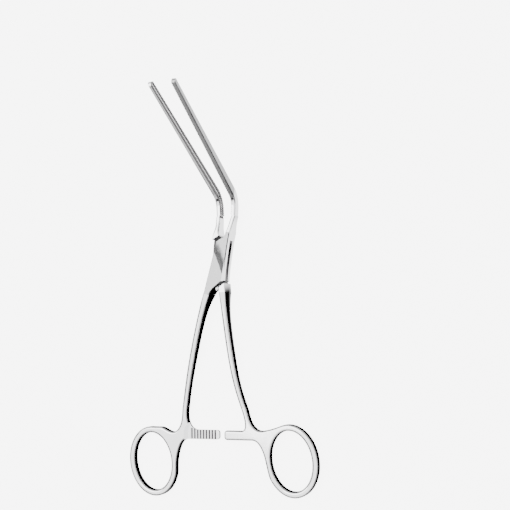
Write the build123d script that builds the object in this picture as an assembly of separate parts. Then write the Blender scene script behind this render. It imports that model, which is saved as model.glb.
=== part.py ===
from build123d import *
import os
from math import atan, cos, degrees, hypot, radians, sin, tan

# Vascular clamp with box lock, ratchet, finger rings and jaws bent up out of the handle plane.
# Millimetres. Z is the pivot axis, Z = 0 is the flat underside of the box lock.
# Y runs along the clamp towards the jaws, X is the opening direction.
# The two arms are drawn in the rest pose, with the ratchet just out of engagement.

# Box lock
box_thickness = 9.0
plate_thickness = 2.75
tongue_gap = 0.1
shoulder_set_back = 0.1
edge_bevel = 0.45
slot_radius = 11.4
slot_wall_angle = 76.0
mid_z = box_thickness / 2
tongue_thickness = box_thickness - 2 * plate_thickness - 2 * tongue_gap
shoulder_depth = box_thickness - 2 * shoulder_set_back

# Pivot pin
pin_radius = 1.6
pin_running_clearance = 0.05

# Stems and jaws
jaw_base_width = 2.5
jaw_base_depth = 5.1
jaw_tip_width = 1.9
jaw_tip_depth = 3.5
jaw_length = 86.5
bend_angle = 58.5
bend_radius = 10.0
bend_y = 34.5
jaw_back_rounding = 1.1

# Clamping faces: two toothed rows beside a plain centre groove, from the jaw's foot to the tip
face_base_x_box_arm = 7.85
face_lean_box_arm = 3.1
face_base_x_tongue_arm = 0.9
face_lean_tongue_arm = -1.8
foot_length = 4.4
foot_step = 0.35
groove_width = 0.9
groove_depth = 0.3
end_groove_width = 0.7
end_groove_depth = 0.6
tooth_pitch_jaw = 1.0
tooth_width_jaw = 0.72
tooth_depth_jaw = 0.25
tooth_row_margin = 1.0

# Shanks
shank_end_y = -78.0
shank_end_x_box_arm = -23.0
shank_end_x_tongue_arm = 11.7
box_shank_width = 3.5
tongue_shank_width = 3.7
shank_end_width = 2.9
shank_edge_rounding = 1.2
shank_rounding = 1.45

# Finger rings
ring_thickness = 4.8
ring_inner_length = 31.0
ring_inner_width = 22.6
ring_wire = 3.2
ring_lean = 10.0
ring_offset_box_arm = 5.4
ring_offset_tongue_arm = 11.7
ring_drop_box_arm = 13.5
ring_drop_tongue_arm = 11.2

# Ratchet bars
bar_drop = 11.8
bar_width = 5.0
bar_end_x_box_arm = -3.3
bar_end_x_tongue_arm = 0.35
bar_gap = 0.2
ratchet_pitch = 1.75
ratchet_tooth_height = 0.75
ratchet_teeth = 9
ratchet_root_radius = 8.6

bar_top_y = shank_end_y - bar_drop
bar_bottom_y = bar_top_y - bar_width
bar_level = ring_thickness / 2


def slab(points, z_low, z_high):
    """Flat plate with straight sides."""
    outline = make_face(Polyline(*points, close=True))
    return Pos(0, 0, z_low) * extrude(outline, z_high - z_low)


def turned(point, angle):
    """A point of the plan turned about the pivot axis."""
    c = cos(radians(angle))
    s = sin(radians(angle))
    return (point[0] * c - point[1] * s, point[0] * s + point[1] * c)


def section_plane(x, y, z, heading):
    """Plane across a bar that runs in the plan at a heading measured from +Y towards +X."""
    along = Vector(sin(radians(heading)), cos(radians(heading)), 0)
    across = Vector(cos(radians(heading)), -sin(radians(heading)), 0)
    return Plane(origin=(x, y, z), x_dir=across, z_dir=along)


class ClampingFace:
    """Centre line of one clamping face: straight foot, bend, straight jaw.

    side is +1 where the metal lies on the +X side of the face.
    """

    def __init__(self, base_x, lean, side):
        tangent = bend_radius * tan(radians(bend_angle / 2))
        self.lean = lean
        self.side = side
        self.along = Vector(sin(radians(lean)), cos(radians(lean)), 0)
        self.outward = Vector(cos(radians(lean)), -sin(radians(lean)), 0) * side
        self.bend_start = Vector(base_x, bend_y, mid_z) - self.along * tangent
        across = Vector(self.along.Y, -self.along.X, 0)
        self.bend_axis = Axis(self.bend_start + Vector(0, 0, bend_radius), across)
        self.arc = radians(bend_angle) * bend_radius
        self.end = self.arc + jaw_length - tangent

    def at(self, s):
        """Point at a distance past the start of the bend, and the direction of the jaw there."""
        turn = min(max(s, 0), self.arc) / bend_radius
        up = Vector(0, 0, 1)
        run = self.along * cos(turn) + up * sin(turn)
        radial = self.along * sin(turn) - up * cos(turn)
        rest = s - turn * bend_radius
        return self.bend_start + up * bend_radius + radial * bend_radius + run * rest, run

    def section(self, s, width, depth):
        """Section of the jaw there: flat clamping side, rounded back."""
        point, run = self.at(s)
        profile = Pos(width / 2, 0) * Rectangle(width, depth)
        back_corners = profile.vertices().sort_by(Axis.X)[-2:]
        plane = Plane(origin=point, x_dir=self.outward, z_dir=run * self.side)
        return plane * fillet(back_corners, jaw_back_rounding)

    def notch(self, s, outline, reach):
        """Straight cut across the face there. The outline is given along the jaw and into the metal."""
        point, run = self.at(s)
        plane = Plane(origin=point, x_dir=run, z_dir=run.cross(self.outward))
        return extrude(plane * make_face(Polyline(*outline, close=True)), reach, both=True)


def jaw(face):
    """Foot, bend and tapered jaw with its rounded end."""
    foot = face.section(0, jaw_base_width, jaw_base_depth)
    foot = extrude(foot, foot_length, dir=face.along * -1)
    bend = revolve(face.section(0, jaw_base_width, jaw_base_depth), face.bend_axis, bend_angle)
    base = face.section(face.arc, jaw_base_width, jaw_base_depth)
    tip = face.section(face.end, jaw_tip_width, jaw_tip_depth)
    blade = loft([base, tip], ruled=True)

    half = jaw_tip_depth / 2
    wide = half + 1
    low = -0.8 * half
    end_shape = make_face(
        [
            ThreePointArc((low, -half), (0, 0), (low, half)),
            Line((low, half), (low, wide)),
            Line((low, wide), (1, wide)),
            Line((1, wide), (1, -wide)),
            Line((1, -wide), (low, -wide)),
            Line((low, -wide), (low, -half)),
        ]
    )
    point, run = face.at(face.end)
    side_plane = Plane(origin=point - face.outward, x_dir=run, z_dir=face.outward)
    blade -= extrude(side_plane * end_shape, jaw_base_width + 2)
    return foot + bend + blade


def toothing(face):
    """Cuts for one clamping face: end groove at the foot, centre groove, cross serrations."""
    out = -0.2
    half = tooth_width_jaw / 2
    start = end_groove_width + tooth_row_margin / 2 - foot_length
    count = int((face.end - tooth_row_margin - start) / tooth_pitch_jaw)
    vee = [(-half, out), (-half, 0), (0, tooth_depth_jaw), (half, 0), (half, out)]
    cuts = [face.notch(start + (i + 0.5) * tooth_pitch_jaw, vee, jaw_base_depth) for i in range(count)]

    low = -1.0
    high = end_groove_width
    square = [(low, out), (low, end_groove_depth), (high, end_groove_depth), (high, out)]
    cuts.append(face.notch(-foot_length, square, jaw_base_depth))

    point, run = face.at(0)
    plane = Plane(origin=point, x_dir=face.outward, z_dir=run * face.side)
    groove = plane * Rectangle(2 * groove_depth, groove_width)
    cuts.append(extrude(groove, foot_length, dir=face.along * -1))
    cuts.append(revolve(groove, face.bend_axis, bend_angle))
    point, run = face.at(face.arc)
    plane = Plane(origin=point, x_dir=face.outward, z_dir=run * face.side)
    groove = plane * Rectangle(2 * groove_depth, groove_width)
    cuts.append(extrude(groove, face.end - face.arc - tooth_row_margin, dir=run))
    return cuts


def stem(stations, face):
    """Stem lofted from the box lock up to the jaw's foot, set back from the clamping face.

    Each station is x, y, heading, width, depth and rounding.
    """
    sections = []
    for x, y, heading, w, d, r in stations:
        sections.append(section_plane(x, y, mid_z, heading) * RectangleRounded(w, d, r))
    point, run = face.at(-foot_length)
    width = jaw_base_width - foot_step
    centre = point + face.outward * (foot_step + width / 2)
    plane = section_plane(centre.X, centre.Y, mid_z, face.lean)
    sections.append(plane * RectangleRounded(width, jaw_base_depth, jaw_back_rounding * 0.5))
    return loft(sections)


def path_plane(path, t):
    """Plane across a shank at the fraction t of its path. The shank sinks from the box lock to the rings."""
    at = path @ t
    run = path % t
    z = mid_z + (ring_thickness / 2 - mid_z) * t
    return section_plane(at.X, at.Y, z, degrees(atan(run.X / run.Y)))


def shank(start, bends, end_x, start_width, start_depth):
    """Shank lofted along its centre line from the box lock to the ring end.

    bends are x and the share of the shank's length at which the centre line passes there.
    """
    drop = shank_end_y - start[1]
    path = Spline(start, *[(x, start[1] + share * drop) for x, share in bends], (end_x, shank_end_y))
    sections = []
    for t, w, d, r in (
        (0.0, start_width, start_depth, edge_bevel),
        (0.1, 3.35, 7.3, 1.0),
        (0.25, 3.3, 6.2, shank_rounding),
        (0.45, 3.3, 5.6, shank_rounding),
        (0.65, 3.25, 5.2, shank_rounding),
        (0.85, 3.05, 4.95, shank_rounding),
        (1.0, shank_end_width, ring_thickness, shank_edge_rounding),
    ):
        sections.append(path_plane(path, t) * RectangleRounded(w, d, r))
    return loft(sections), path


def round_ring(centre, angle, out):
    """Point at an angle round a finger ring, that far outside its wire."""
    x = (ring_inner_width / 2 + ring_wire + out) * cos(radians(angle))
    y = (ring_inner_length / 2 + ring_wire + out) * sin(radians(angle))
    dx, dy = turned((x, y), ring_lean)
    return (centre[0] + dx, centre[1] + dy)


def ring_end(path, centre, bar_side, join, top, web, bar_end_x, bar_root):
    """Finger ring, web and full-height ratchet bar as one plate with rounded edges.

    bar_side is +1 where the bar points to +X. join gives the angles of the ring's free edge. top gives the
    points of the edge from the shank to the ring, web those from the ring to the underside of the bar.
    bar_root is where the bar's upper and lower edges begin, from the end of the shank.
    """
    end = path @ 1
    run = (path % 1).normalized()
    across = Vector(-run.Y, run.X, 0) * bar_side
    half = across * (shank_end_width / 2)
    outer = end - half
    inner = end + half
    first, last = join
    ring_edge = Pos(centre[0], centre[1], 0) * EllipticalCenterArc(
        (0, 0),
        ring_inner_width / 2 + ring_wire,
        ring_inner_length / 2 + ring_wire,
        start_angle=first,
        arc_size=last - first,
        rotation=ring_lean,
    )
    start = ring_edge @ 0
    finish = ring_edge @ 1
    d0 = ring_edge % 0
    d1 = ring_edge % 1
    corner = 1.5
    tip = bar_end_x - bar_side * corner
    over_root = (end.X + bar_root[0], bar_top_y)
    under_root = (end.X + bar_root[1], bar_bottom_y)
    edges = [
        Spline((outer.X, outer.Y), *top, (start.X, start.Y), tangents=[(run.X, run.Y), (d0.X, d0.Y)]),
        ring_edge,
        Spline((finish.X, finish.Y), *web, under_root, tangents=[(d1.X, d1.Y), (bar_side, 0)]),
        Line(under_root, (tip, bar_bottom_y)),
        RadiusArc((tip, bar_bottom_y), (bar_end_x, bar_bottom_y + corner), -corner * bar_side),
        Line((bar_end_x, bar_bottom_y + corner), (bar_end_x, bar_top_y - corner)),
        RadiusArc((bar_end_x, bar_top_y - corner), (tip, bar_top_y), -corner * bar_side),
        Line((tip, bar_top_y), over_root),
        Spline(over_root, (inner.X, inner.Y), tangents=[(-bar_side, 0), (-run.X, -run.Y)]),
        Line((inner.X, inner.Y), (outer.X, outer.Y)),
    ]
    plate = extrude(make_face(edges), ring_thickness)
    hole = Rot(0, 0, ring_lean) * Ellipse(ring_inner_width / 2, ring_inner_length / 2)
    plate -= Pos(centre[0], centre[1], 0) * extrude(hole, ring_thickness)
    rounded = []
    for e in plate.edges():
        c = e.center()
        flat = abs(c.Z) < 1e-4 or abs(c.Z - ring_thickness) < 1e-4
        at_joint = abs((c - Vector(end.X, end.Y, c.Z)).dot(run)) < 0.02
        if flat and not at_joint:
            rounded.append(e)
    return fillet(rounded, shank_edge_rounding)


def ratchet_cutter(centre_x, bar_end_x, bar_side, first_tooth_x, teeth_up):
    """Space above or below the ratchet bar, with the row of one-way teeth left standing."""
    low_y = bar_bottom_y - 1.0
    high_y = bar_top_y + 1.0
    tip_z = bar_level - bar_gap / 2 if teeth_up else bar_level + bar_gap / 2
    far_x = bar_end_x + 2 * bar_side
    if teeth_up:
        z0, z1 = tip_z, ring_thickness + 1
    else:
        z0, z1 = -1, tip_z
    middle_y = (bar_top_y + bar_bottom_y) / 2
    space = Pos(centre_x, middle_y, z0) * extrude(Circle(ratchet_root_radius), z1 - z0)
    x0, x1 = sorted((centre_x, far_x))
    space += slab([(x0, low_y), (x1, low_y), (x1, high_y), (x0, high_y)], z0, z1)
    into = -1 if teeth_up else 1
    notches = []
    for i in range(ratchet_teeth):
        x = first_tooth_x + i * ratchet_pitch * bar_side
        crest = 0.25 * bar_side
        root = (ratchet_pitch - 0.1) * bar_side
        end = ratchet_pitch * bar_side
        over = tip_z - into * 0.3
        deep = tip_z + into * ratchet_tooth_height
        near = x + crest
        far = x + end
        flat = make_face(
            Polyline((near, tip_z), (x + root, deep), (far, tip_z), (far, over), (near, over), close=True)
        )
        upright = Plane((0, low_y, 0), x_dir=(1, 0, 0), z_dir=(0, -1, 0))
        notches.append(extrude(upright * flat, low_y - high_y))
    return [space] + notches


def bevelled(body, z_low, z_high, keep_sharp):
    """Bevel round the flat faces of a plate, leaving the edges near the given points of the plan sharp."""
    edges = []
    for e in body.edges():
        c = e.center()
        flat = abs(e.bounding_box().size.Z) < 1e-4
        level = abs(c.Z - z_low) < 1e-4 or abs(c.Z - z_high) < 1e-4
        near = any(hypot(c.X - x, c.Y - y) < 1.2 for x, y in keep_sharp)
        if flat and level and not near:
            edges.append(e)
    return chamfer(edges, edge_bevel)


# Box arm: jaw on the +X side, box lock, shank, ratchet and ring on the -X side
box_outline = [
    Spline((-8.7, -17.2), (-7.5, -12.6), (-4.5, -2.3), (-0.9, 11.0)),
    Spline((-0.9, 11.0), (1.2, 12.2), (3.8, 13.4), (4.8, 15.4), tangents=[(1, 0.35), (0.3, 1)]),
    Line((4.8, 15.4), (7.3, 15.4)),
    Spline((7.3, 15.4), (6.3, 11.0), (4.7, 2.0), (3.7, -4.3), (3.1, -10.4)),
    Spline((3.1, -10.4), (1.2, -11.4), (-2.0, -13.8), (-5.1, -17.2), tangents=[(-1, -0.3), (-0.45, -1)]),
    Line((-5.1, -17.2), (-8.7, -17.2)),
]
box = extrude(make_face(box_outline), box_thickness)
box = bevelled(box, 0, box_thickness, [(-6.9, -17.2), (6.05, 15.4)])

# Broad facet that widens down the outer edge of each plate
facet = Plane((5.4, 8.0, box_thickness), x_dir=(-4.1, -19.4, 0), z_dir=(1.9, -0.4, 4.2))
facet_cut = facet * Pos(12, -10, 2) * Box(50, 30, 4)
facet_cut &= Pos(10.0, -2.0, box_thickness) * Box(24, 22, 8)
facet_cut += mirror(facet_cut, Plane.XY.offset(mid_z))

slot_low = plate_thickness
slot_high = box_thickness - plate_thickness
slot_height = slot_high - slot_low
upper_wall = turned((20, 0), slot_wall_angle)
lower_wall = turned((-20, 0), slot_wall_angle)
slot = Pos(0, 0, slot_low) * extrude(Circle(slot_radius), slot_height)
slot += slab([(0, 0), upper_wall, (-20, 20), (-20, -4)], slot_low, slot_high)
slot += slab([(0, 0), lower_wall, (20, -20), (20, 4)], slot_low, slot_high)

box_face = ClampingFace(face_base_x_box_arm, face_lean_box_arm, 1)
box_stem = stem(
    [
        (6.05, 15.1, 14, 2.45, box_thickness, edge_bevel),
        (6.85, 18.2, 12, 2.3, 7.2, 0.7),
        (7.7, 21.4, 8, 2.2, 6.0, 0.7),
    ],
    box_face,
)
box_shank, box_path = shank(
    (-6.9, -16.8),
    [(-8.7, 0.06), (-10.9, 0.15), (-15.5, 0.405), (-20.45, 0.758)],
    shank_end_x_box_arm,
    box_shank_width,
    box_thickness,
)
ring_half_width = ring_inner_width / 2 + ring_wire
ring_half_length = ring_inner_length / 2
box_ring_centre = (
    shank_end_x_box_arm - ring_offset_box_arm - ring_half_width,
    shank_end_y - ring_drop_box_arm - ring_half_length,
)
box_ring = ring_end(
    box_path,
    box_ring_centre,
    1,
    (80, 330),
    [
        (shank_end_x_box_arm - 2.7, shank_end_y - 8.5),
        (shank_end_x_box_arm - 6.7, shank_end_y - 13.0),
        round_ring(box_ring_centre, 53.5, 2.0),
    ],
    [round_ring(box_ring_centre, -13.7, -0.35), round_ring(box_ring_centre, 13.2, 3.4)],
    bar_end_x_box_arm,
    (7.4, 1.4),
)
box_ring -= ratchet_cutter(-15.0, bar_end_x_box_arm, 1, -21.0, True)
box_jaw = jaw(box_face) - toothing(box_face)
box_arm = box - slot - facet_cut + box_shank + box_stem + box_jaw + box_ring
box_arm -= extrude(Circle(pin_radius), box_thickness)

# Tongue arm: jaw on the -X side, tongue through the box, shank, ratchet and ring on the +X side
tongue_low = mid_z - tongue_thickness / 2
tongue_high = mid_z + tongue_thickness / 2
tongue = slab(
    [
        (-3.0, 12.6),
        (-3.6, 8.0),
        (-4.0, 2.0),
        (-3.8, -3.0),
        (-2.0, -9.0),
        (0.7, -14.5),
        (3.6, -14.5),
        (3.0, -9.0),
        (3.0, -3.0),
        (3.2, 4.0),
        (1.0, 10.4),
        (0.6, 15.5),
        (-2.0, 15.5),
    ],
    tongue_low,
    tongue_high,
)
tongue_face = ClampingFace(face_base_x_tongue_arm, face_lean_tongue_arm, -1)
tongue_stem = stem(
    [
        (-1.1, 13.0, -28, 4.6, shoulder_depth, edge_bevel),
        (-0.95, 15.6, 2, 3.1, 8.2, 0.7),
        (-0.6, 18.6, 4, 2.5, 7.0, jaw_back_rounding),
        (-0.3, 21.6, 2, 2.3, 6.1, 0.7),
    ],
    tongue_face,
)
tongue_shank, tongue_path = shank(
    (2.2, -16.6),
    [(2.2, 0.05), (2.35, 0.145), (3.6, 0.365), (7.9, 0.801)],
    shank_end_x_tongue_arm,
    tongue_shank_width,
    shoulder_depth,
)
shoulder = loft(
    [
        section_plane(1.95, -13.0, mid_z, -36) * RectangleRounded(4.2, shoulder_depth, edge_bevel),
        path_plane(tongue_path, 0) * RectangleRounded(tongue_shank_width, shoulder_depth, edge_bevel),
    ]
)
tongue_ring_centre = (
    shank_end_x_tongue_arm + ring_offset_tongue_arm + ring_half_width,
    shank_end_y - ring_drop_tongue_arm - ring_half_length,
)
tongue_ring = ring_end(
    tongue_path,
    tongue_ring_centre,
    -1,
    (98, -155),
    [
        (shank_end_x_tongue_arm + 4.9, shank_end_y - 9.0),
        (shank_end_x_tongue_arm + 8.6, shank_end_y - 11.6),
        round_ring(tongue_ring_centre, 126.8, 3.2),
    ],
    [round_ring(tongue_ring_centre, -172.6, -0.4), round_ring(tongue_ring_centre, 153.7, 3.0)],
    bar_end_x_tongue_arm,
    (-1.3, 4.3),
)
tongue_ring -= ratchet_cutter(6.6, bar_end_x_tongue_arm, -1, 14.2, False)
tongue_jaw = jaw(tongue_face) - toothing(tongue_face)
tongue_arm = tongue + shoulder + tongue_shank + tongue_stem + tongue_jaw + tongue_ring
tongue_arm -= extrude(Circle(pin_radius + pin_running_clearance), box_thickness)

# Pivot pin, flush with both plates of the box
pivot_pin = extrude(Circle(pin_radius), box_thickness)

os.makedirs("parts", exist_ok=True)
export_step(box_arm, "parts/box_arm.step")
export_step(tongue_arm, "parts/tongue_arm.step")
export_step(pivot_pin, "parts/pivot_pin.step")
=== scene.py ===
import bpy
from collections import namedtuple
from math import cos, radians, sin
from mathutils import Matrix, Vector

# Vascular clamp lying on a pale table, seen from above under soft studio light.
# Lengths are in metres, in the frame of the CAD model. Tints and light levels are linear greys. A pair of
# numbers is a soft edge, from where it begins to where it is complete, or else the two limits of a range.

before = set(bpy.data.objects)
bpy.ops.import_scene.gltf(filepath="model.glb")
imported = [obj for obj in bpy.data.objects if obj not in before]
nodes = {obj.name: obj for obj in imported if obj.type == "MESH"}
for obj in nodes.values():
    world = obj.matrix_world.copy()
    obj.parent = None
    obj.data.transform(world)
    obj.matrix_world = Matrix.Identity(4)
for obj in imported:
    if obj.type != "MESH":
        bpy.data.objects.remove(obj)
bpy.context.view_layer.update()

# Camera, with its angles in degrees and the width of the view at the target
TURN = 23.0
TILT = 6.0
ROLL = -1.0
DISTANCE = 0.485
TARGET = Vector((0.01712, 0.00344, -0.00237))
VIEW_WIDTH = 0.27568
SENSOR = 36.0
CLIP_START = 0.01
CLIP_END = 20.0

# Table top
FLOOR_SIZE = 4.0
FLOOR_LEVEL = -0.0002
FLOOR_TINT = 0.35
FLOOR_GLOW = 6.5

# What polished steel reflects of the table top. Reaches are lengths of the reflected ray. From CARDS_Y on the
# table top lets the cards of the studio through.
CARDS_Y = (-0.016, -0.008)
CONTACT_REACH = (0.010, 0.016)
DIM_LEVEL = 0.04
DIM_REACH = (0.04, 0.08)
GLEAM_LEVEL = 0.3
GLEAM_REACH = (0.0028, 0.0042)
GLEAM_X = (-0.003, 0.0)
GLEAM_Y = (-0.052, -0.036)

# Studio. Edges of lights and cards are cosines of the angle from their aim.
KEY_PLACE = (-0.45, 0.35, 0.9)
KEY_SIZE = 0.9
KEY_POWER = 8.0
STUDIO_LEVEL = 3.0
HORIZON = (-0.02, 0.02)
SOFT_LIGHT_AIM = (0.05, -0.05, 0.99)
SOFT_LIGHT = ((0.0, 0.4), (0.28, 0.3), (0.36, 0.006), (0.56, 0.006), (0.70, 0.9), (0.78, 1.0), (1.0, 1.0))
Card = namedtuple("Card", "aim edge level")
CARDS = (
    Card((-0.39, 0.10, -0.92), (0.87, 0.91), 0.003),
    Card((-0.389, -0.863, -0.323), (0.85, 0.95), 0.35),
    Card((-0.55, -0.20, -0.81), (0.72, 0.80), 0.003),
    Card((0.57, -0.71, -0.42), (0.68, 0.76), 0.003),
)

# Polished steel. Scales are in noise cells per metre, turns in radians, and a finish is a range of roughness.
STEEL_TINT = 0.87
BLUE_SHARE = 1.008
MARKS_SCALE = (4200, 500, 4200)
UNEVEN_SCALE = 160.0
SCRATCH_SCALE = (900, 60, 900)
SCRATCH_TURN = (0.2, 0.3, 0.7)
SCRATCH_WIDTH = 0.03
SCRATCH_ROUGHNESS = 0.05
POLISH_NOISE = (0.7, 1.3)
POLISHED = (0.06, 0.14)
GROUND_PIN = (0.2, 0.3)
RELIEF = {"Strength": 0.012, "Distance": 0.0002}
WAVES = {"Strength": 0.12, "Distance": 0.0001}

# Satin steel from the top of the box's plate upwards, its darker tint painted shade. Its relief rises a
# little beyond a diagonal line.
SATIN_Z = (0.00888, 0.00897)
SATIN_SHADE_TINT = 0.38
SATIN = (0.27, 0.35)
GRAIN_SCALE = (1200, 9000, 1200)
GRAIN_TURN = (0, 0, -0.35)
GRAIN_NOISE = (0.3, 0.7)
GRAIN_TINT = 0.1
RISE_ACROSS = (0.935, 0.356)
RISE_EDGE = (-0.0002, 0.0055)
RISE_WAVE = 0.0016
RISE_HEIGHT = 0.0016

# Painted shade in the gap of the lock, with the notches above the tongue's shoulders
RANGE_EDGE = 0.0001
SLOT_SHADE_Z = (0.0027, 0.0063)
NOTCH_SHADE_Z = (0.0027, 0.00885)
NOTCH_SHADE_BEGINS = (-0.0008, -0.0006)
NOTCH_SHADE_ENDS = (0.0012, 0.0020)

# Painted shade on the toothed clamping faces and in the cross groove that ends them, with depths as shares of
# a tooth's depth
FACE_Y = 0.0345
TOOTH_DEPTH = 0.00025
ROOT = (0.05, 0.6)
ROWS_END = (1.04, 1.12)
CREST_SHADE_TINT = 0.12
ROOT_SHADE_TINT = 0.01
TEETH_Y = (0.0238, 0.0244)
END_GROOVE_Y = (0.0236, 0.0251)
END_GROOVE_DEPTH = (0.0006, 0.0007)

# Ratchet teeth, with painted shade from the root up the flank
RATCHET_X = (-0.0215, -0.0045)
RATCHET_Y = (-0.0958, -0.0888)
FLANK_SHADE_Z = (0.0019, 0.00229)
FLANK_SHADE_TINT = 0.03

# Arms: x of the clamping face at FACE_Y, its lean in degrees, the side of it that the jaw is on (1 is +X),
# the reach of the gap's painted shade along Y and its tint, the lines of the shaded notches, and whether the
# ratchet faces up
Arm = namedtuple("Arm", "face_x face_lean side gap_y gap_tint notches ratchet")
BOX_ARM = Arm(
    face_x=0.00785,
    face_lean=3.1,
    side=1,
    gap_y=(-0.0112, 0.0112),
    gap_tint=0.01,
    notches=(),
    ratchet=True,
)
TONGUE_ARM = Arm(
    face_x=0.0009,
    face_lean=-1.8,
    side=-1,
    gap_y=(-0.0112, 0.0138),
    gap_tint=0.025,
    notches=(((-0.0009, 0.0110), (0.0038, 0.0134)), ((0.0031, -0.0104), (-0.0020, -0.0138))),
    ratchet=False,
)


def add_camera():
    """The camera, turned to the right, a little low and rolled, as a frame of its three axes."""
    turn = radians(TURN)
    tilt = radians(TILT)
    roll = radians(ROLL)
    back = Vector((sin(turn) * cos(tilt), -sin(tilt), cos(turn) * cos(tilt)))
    up = (Vector((0, 1, 0)) - back.y * back).normalized()
    right = up.cross(back)
    rolled_right = right * cos(roll) + up * sin(roll)
    rolled_up = up * cos(roll) - right * sin(roll)
    data = bpy.data.cameras.new("camera")
    data.sensor_width = SENSOR
    data.lens = SENSOR * DISTANCE / VIEW_WIDTH
    data.clip_start = CLIP_START
    data.clip_end = CLIP_END
    camera = bpy.data.objects.new("camera", data)
    axes = Matrix((rolled_right, rolled_up, back)).transposed().to_4x4()
    camera.matrix_world = Matrix.Translation(TARGET + back * DISTANCE) @ axes
    bpy.context.scene.collection.objects.link(camera)
    bpy.context.scene.camera = camera


def add_key():
    """A soft square light at the upper left, aimed at the lock."""
    data = bpy.data.lights.new("key", "AREA")
    data.size = KEY_SIZE
    data.energy = KEY_POWER
    light = bpy.data.objects.new("key", data)
    light.location = KEY_PLACE
    light.rotation_euler = (-Vector(KEY_PLACE)).to_track_quat("-Z", "Y").to_euler()
    bpy.context.scene.collection.objects.link(light)


class Nodes:
    """Short helper for building a node tree."""

    def __init__(self, tree):
        self.tree = tree
        self.tree.nodes.clear()

    def add(self, kind, inputs=None, **settings):
        node = self.tree.nodes.new(kind)
        for key, value in settings.items():
            setattr(node, key, value)
        for key, value in (inputs or {}).items():
            if isinstance(value, bpy.types.NodeSocket):
                self.tree.links.new(value, node.inputs[key])
            else:
                node.inputs[key].default_value = value
        return node


def new_material(name):
    """An empty material and the helper for its nodes."""
    material = bpy.data.materials.new(name)
    material.use_nodes = True
    return material, Nodes(material.node_tree)


def fade(n, value, edge, start=0.0, end=1.0, curve="SMOOTHSTEP"):
    """Value taken from start to end across an edge."""
    inputs = {"Value": value, "From Min": edge[0], "From Max": edge[1], "To Min": start, "To Max": end}
    return n.add("ShaderNodeMapRange", inputs, interpolation_type=curve).outputs[0]


def combine(n, operation, first, second):
    """Result of one operation on two values."""
    return n.add("ShaderNodeMath", {0: first, 1: second}, operation=operation).outputs[0]


def multiply(n, first, second):
    """Product of two values."""
    return combine(n, "MULTIPLY", first, second)


def blend(n, factor, first, second):
    """Value between two others."""
    return n.add("ShaderNodeMix", {0: factor, 2: first, 3: second}, data_type="FLOAT").outputs[0]


def between(n, value, limits):
    """1 where a value lies between two limits, 0 elsewhere."""
    low, high = limits
    above = fade(n, value, (low, low + RANGE_EDGE))
    return multiply(n, above, fade(n, value, (high - RANGE_EDGE, high), 1.0, 0.0))


def along(n, x, y, direction):
    """Distance of a place in the plan along a direction."""
    return combine(n, "ADD", multiply(n, x, direction[0]), multiply(n, y, direction[1]))


def noise(n, place, scale, detail):
    """Value of a noise at a place."""
    return n.add("ShaderNodeTexNoise", {"Vector": place, "Scale": scale, "Detail": detail}).outputs["Fac"]


def stretched(n, place, scale, turn=(0, 0, 0)):
    """Place turned and scaled, so that a noise read there is drawn out along one axis."""
    return n.add("ShaderNodeMapping", {"Vector": place, "Rotation": turn, "Scale": scale}).outputs[0]


def bump(n, height, strength, distance, normal=None):
    """Surface direction after a relief is laid on it."""
    inputs = {"Height": height, "Strength": strength, "Distance": distance}
    if normal is not None:
        inputs["Normal"] = normal
    return n.add("ShaderNodeBump", inputs).outputs[0]


def scratches(n, place):
    """1 on a few hairline scratches, 0 elsewhere."""
    inputs = {"Vector": stretched(n, place, SCRATCH_SCALE, SCRATCH_TURN), "Scale": 1.0}
    cells = n.add("ShaderNodeTexVoronoi", inputs, feature="DISTANCE_TO_EDGE")
    return fade(n, cells.outputs["Distance"], (0.0, SCRATCH_WIDTH), 1.0, 0.0)


def rise(n, x, y, uneven):
    """Height from 0 to 1 that rises beyond a slightly wavy diagonal line of the plate and levels out."""
    wave = multiply(n, combine(n, "SUBTRACT", uneven, 0.5), RISE_WAVE)
    across = combine(n, "ADD", along(n, x, y, RISE_ACROSS), wave)
    left = fade(n, across, RISE_EDGE, 1.0, 0.0, "LINEAR")
    return combine(n, "SUBTRACT", 1.0, multiply(n, left, left))


def notch(n, x, y, start, end):
    """1 in a narrow band of painted shade on the left of a line of the plan, seen from its start, 0
    elsewhere.
    """
    run = Vector((end[0] - start[0], end[1] - start[1])).normalized()
    level = run.y * start[0] - run.x * start[1]
    away = combine(n, "ADD", along(n, x, y, (-run.y, run.x)), level)
    return multiply(n, fade(n, away, NOTCH_SHADE_ENDS, 1.0, 0.0), fade(n, away, NOTCH_SHADE_BEGINS))


def lock_gap_shade(n, x, y, z, arm):
    """1 where shade is painted, inside the box lock and in the notches above the tongue's shoulders, 0
    elsewhere.
    """
    gap = multiply(n, between(n, z, SLOT_SHADE_Z), between(n, y, arm.gap_y))
    for start, end in arm.notches:
        band = multiply(n, notch(n, x, y, start, end), between(n, z, NOTCH_SHADE_Z))
        gap = combine(n, "MAXIMUM", gap, band)
    return gap


def shade_face(n, x, y, arm, tint):
    """Tint of an arm with painted shade on the toothed rows of its clamping face, darkest in the roots and
    the end groove.
    """
    lean = radians(arm.face_lean)
    base = (arm.face_x * cos(lean) - FACE_Y * sin(lean)) * arm.side
    into = combine(n, "SUBTRACT", along(n, x, y, (cos(lean) * arm.side, -sin(lean) * arm.side)), base)
    root = fade(n, into, [share * TOOTH_DEPTH for share in ROOT])
    rows = fade(n, into, [share * TOOTH_DEPTH for share in ROWS_END], 1.0, 0.0)
    on_shaded_rows = multiply(n, rows, fade(n, y, TEETH_Y))
    # Painted shade: the toothed rows are darker, most of all in the roots between the teeth.
    tint = blend(n, on_shaded_rows, tint, blend(n, root, CREST_SHADE_TINT, ROOT_SHADE_TINT))
    end_groove_shade = multiply(n, between(n, y, END_GROOVE_Y), fade(n, into, END_GROOVE_DEPTH, 1.0, 0.0))
    return blend(n, end_groove_shade, tint, ROOT_SHADE_TINT)


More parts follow.
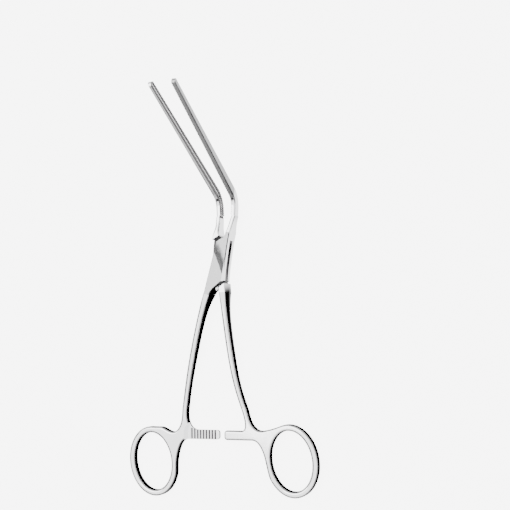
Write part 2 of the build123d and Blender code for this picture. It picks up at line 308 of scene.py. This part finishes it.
def ratchet_flank_shade(n, x, y, z):
    """1 where shade is painted, in the valleys between the ratchet teeth of the left bar, 0 on their crests
    and elsewhere.
    """
    on_bar = multiply(n, between(n, x, RATCHET_X), between(n, y, RATCHET_Y))
    return multiply(n, on_bar, fade(n, z, FLANK_SHADE_Z, 1.0, 0.0))


def steel(name, finish, satin, arm=None):
    """Stainless steel with polishing marks, in a finish. With satin 1 it is satin from SATIN_Z upwards, its
    darker tint painted shade. With an arm it has painted shade in the lock's gap, on the clamping face and in
    the ratchet's valleys.
    """
    material, n = new_material(name)
    place = n.add("ShaderNodeTexCoord").outputs["Object"]
    x, y, z = n.add("ShaderNodeSeparateXYZ", {0: place}).outputs
    marks = noise(n, stretched(n, place, MARKS_SCALE), 1.0, 3.0)
    uneven = noise(n, place, UNEVEN_SCALE, 2.0)
    grain = noise(n, stretched(n, place, GRAIN_SCALE, GRAIN_TURN), 1.0, 4.0)
    in_satin_and_shade = fade(n, z, SATIN_Z, 0.0, satin)

    # Painted shade: the satin part is tinted much darker than the polished steel, with the grain's own
    # variation in it.
    satin_shade_tint = combine(n, "SUBTRACT", SATIN_SHADE_TINT, multiply(n, grain, GRAIN_TINT))
    tint = blend(n, in_satin_and_shade, STEEL_TINT, satin_shade_tint)
    if arm:
        # Painted shade, darker in the gap of the lock and the notches above the tongue's shoulders; it also
        # darkens the tongue's sides within the slot's height.
        tint = blend(n, lock_gap_shade(n, x, y, z, arm), tint, arm.gap_tint)
        tint = shade_face(n, x, y, arm, tint)
        if arm.ratchet:
            # Painted shade in the valleys between the ratchet teeth.
            tint = blend(n, ratchet_flank_shade(n, x, y, z), tint, FLANK_SHADE_TINT)
    colour = n.add("ShaderNodeCombineColor", {0: tint, 1: tint, 2: multiply(n, tint, BLUE_SHARE)})

    gloss = fade(n, combine(n, "ADD", marks, uneven), POLISH_NOISE, *finish)
    gloss = combine(n, "ADD", gloss, multiply(n, scratches(n, place), SCRATCH_ROUGHNESS))
    roughness = blend(n, in_satin_and_shade, gloss, fade(n, grain, GRAIN_NOISE, *SATIN))

    normal = bump(n, blend(n, in_satin_and_shade, marks, grain), RELIEF["Strength"], RELIEF["Distance"])
    normal = bump(n, uneven, WAVES["Strength"], WAVES["Distance"], normal)
    normal = bump(n, multiply(n, rise(n, x, y, uneven), in_satin_and_shade), 1.0, RISE_HEIGHT, normal)
    inputs = {"Base Color": colour.outputs[0], "Metallic": 1.0, "Roughness": roughness, "Normal": normal}
    shader = n.add("ShaderNodeBsdfPrincipled", inputs)
    n.add("ShaderNodeOutputMaterial", {"Surface": shader.outputs[0]})
    return material


def reflected_floor(n, ray_length):
    """The table top as polished steel reflects it: a dark contact shade below the shanks and rings, a gleam
    at the upper end of the right shank, and below the lock and jaws the cards of the studio."""
    position = n.add("ShaderNodeNewGeometry").outputs["Position"]
    x, y, _ = n.add("ShaderNodeSeparateXYZ", {0: position}).outputs
    shade = multiply(n, fade(n, ray_length, CONTACT_REACH), fade(n, ray_length, DIM_REACH, DIM_LEVEL, 1.0))
    gleam = multiply(n, fade(n, y, GLEAM_Y, 0.0, GLEAM_LEVEL), fade(n, ray_length, GLEAM_REACH, 1.0, 0.0))
    gleam = multiply(n, gleam, fade(n, x, GLEAM_X))
    contact = n.add("ShaderNodeEmission", {"Strength": combine(n, "MAXIMUM", shade, gleam)})
    cards = n.add("ShaderNodeBsdfTransparent")
    inputs = {0: fade(n, y, CARDS_Y), 1: contact.outputs[0], 2: cards.outputs[0]}
    return n.add("ShaderNodeMixShader", inputs).outputs[0]


def add_floor():
    """Plain white table top that glows a little."""
    bpy.ops.mesh.primitive_plane_add(size=FLOOR_SIZE, location=(0, 0, FLOOR_LEVEL))
    floor = bpy.context.object
    floor.name = "floor"
    material, n = new_material("floor_paint")
    paint = n.add("ShaderNodeBsdfDiffuse", {"Color": (FLOOR_TINT, FLOOR_TINT, FLOOR_TINT, 1)})
    glow = n.add("ShaderNodeEmission", {"Strength": FLOOR_GLOW})
    table = n.add("ShaderNodeAddShader", {0: paint.outputs[0], 1: glow.outputs[0]})
    path = n.add("ShaderNodeLightPath").outputs
    mirrored = reflected_floor(n, path["Ray Length"])
    seen = n.add("ShaderNodeMixShader", {0: path["Is Glossy Ray"], 1: table.outputs[0], 2: mirrored})
    n.add("ShaderNodeOutputMaterial", {"Surface": seen.outputs[0]})
    material.cycles.emission_sampling = "NONE"
    floor.data.materials.append(material)


def towards(n, direction, aim):
    """How nearly a direction points at an aim, from -1 to 1."""
    inputs = {0: direction, 1: Vector(aim).normalized()}
    return n.add("ShaderNodeVectorMath", inputs, operation="DOT_PRODUCT").outputs["Value"]


def ramp(n, value, stops):
    """Grey level that follows a value through the given (position, level) stops."""
    node = n.add("ShaderNodeValToRGB", {"Fac": value})
    elements = node.color_ramp.elements
    first, *middle, last = stops
    for element, (position, level) in ((elements[0], first), (elements[1], last)):
        element.position = position
        element.color = (level, level, level, 1)
    for position, level in middle:
        elements.new(position).color = (level, level, level, 1)
    return node.outputs["Color"]


def add_world():
    """A soft light overhead in a dark room with a paler horizon, and white below with the cards. The camera
    sees a plain backdrop as light as the table top."""
    world = bpy.data.worlds.new("studio")
    bpy.context.scene.world = world
    world.cycles.sampling_method = "NONE"
    world.use_nodes = True
    n = Nodes(world.node_tree)
    direction = n.add("ShaderNodeTexCoord").outputs["Generated"]
    height = n.add("ShaderNodeSeparateXYZ", {0: direction}).outputs[2]
    above = ramp(n, towards(n, direction, SOFT_LIGHT_AIM), SOFT_LIGHT)
    below = 1.0
    for card in CARDS:
        below = multiply(n, below, fade(n, towards(n, direction, card.aim), card.edge, 1.0, card.level))
    level = multiply(n, blend(n, fade(n, height, HORIZON), below, above), STUDIO_LEVEL)
    seen = n.add("ShaderNodeLightPath").outputs["Is Camera Ray"]
    inputs = {"Color": (1, 1, 1, 1), "Strength": blend(n, seen, level, FLOOR_GLOW)}
    background = n.add("ShaderNodeBackground", inputs)
    n.add("ShaderNodeOutputWorld", {"Surface": background.outputs[0]})


for name, material in (
    ("box_arm", steel("polished_steel", POLISHED, 1.0, BOX_ARM)),
    ("tongue_arm", steel("polished_steel_tongue", POLISHED, 0.0, TONGUE_ARM)),
    ("pivot_pin", steel("satin_shaded_steel", GROUND_PIN, 1.0)),
):
    mesh = nodes[name].data
    mesh.materials.clear()
    mesh.materials.append(material)
    for face in mesh.polygons:
        face.use_smooth = True
    weights = nodes[name].modifiers.new("even_shading", "WEIGHTED_NORMAL")
    weights.keep_sharp = True

add_floor()
add_world()
add_key()
add_camera()
